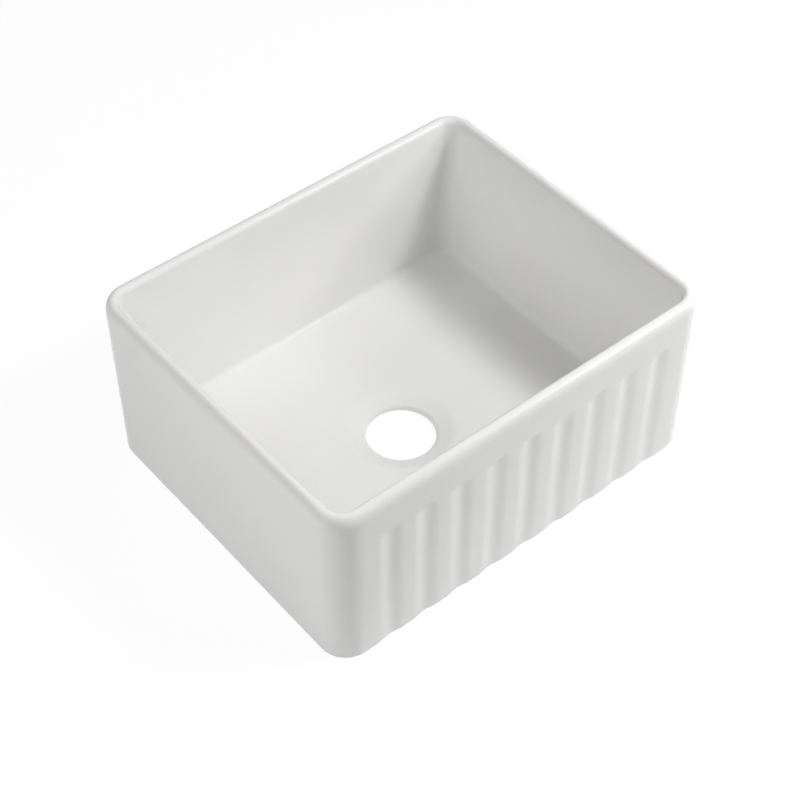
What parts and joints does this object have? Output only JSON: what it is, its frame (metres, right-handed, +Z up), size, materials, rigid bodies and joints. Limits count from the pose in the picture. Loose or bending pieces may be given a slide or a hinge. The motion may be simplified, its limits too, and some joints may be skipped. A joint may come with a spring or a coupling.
{
  "type": "kitchen sink",
  "caption": "Deep rectangular farmhouse sink with a rounded rim, a fluted apron front and a central round outlet, in white glazed fireclay.",
  "frame": {"origin": "middle of the underside's bounding rectangle, on the surface that the sink rests on", "axes": "+X right along the width, +Y from the fluted apron to the back wall, +Z up"},
  "size_m": [0.56, 0.46, 0.252],
  "materials": {
    "bare_fireclay": "matte",
    "white_glaze": "gloss"
  },
  "bodies": {
    "root": {"fireclay_body": "bare_fireclay", "glaze_coat": "white_glaze"}
  },
  "joints": []
}
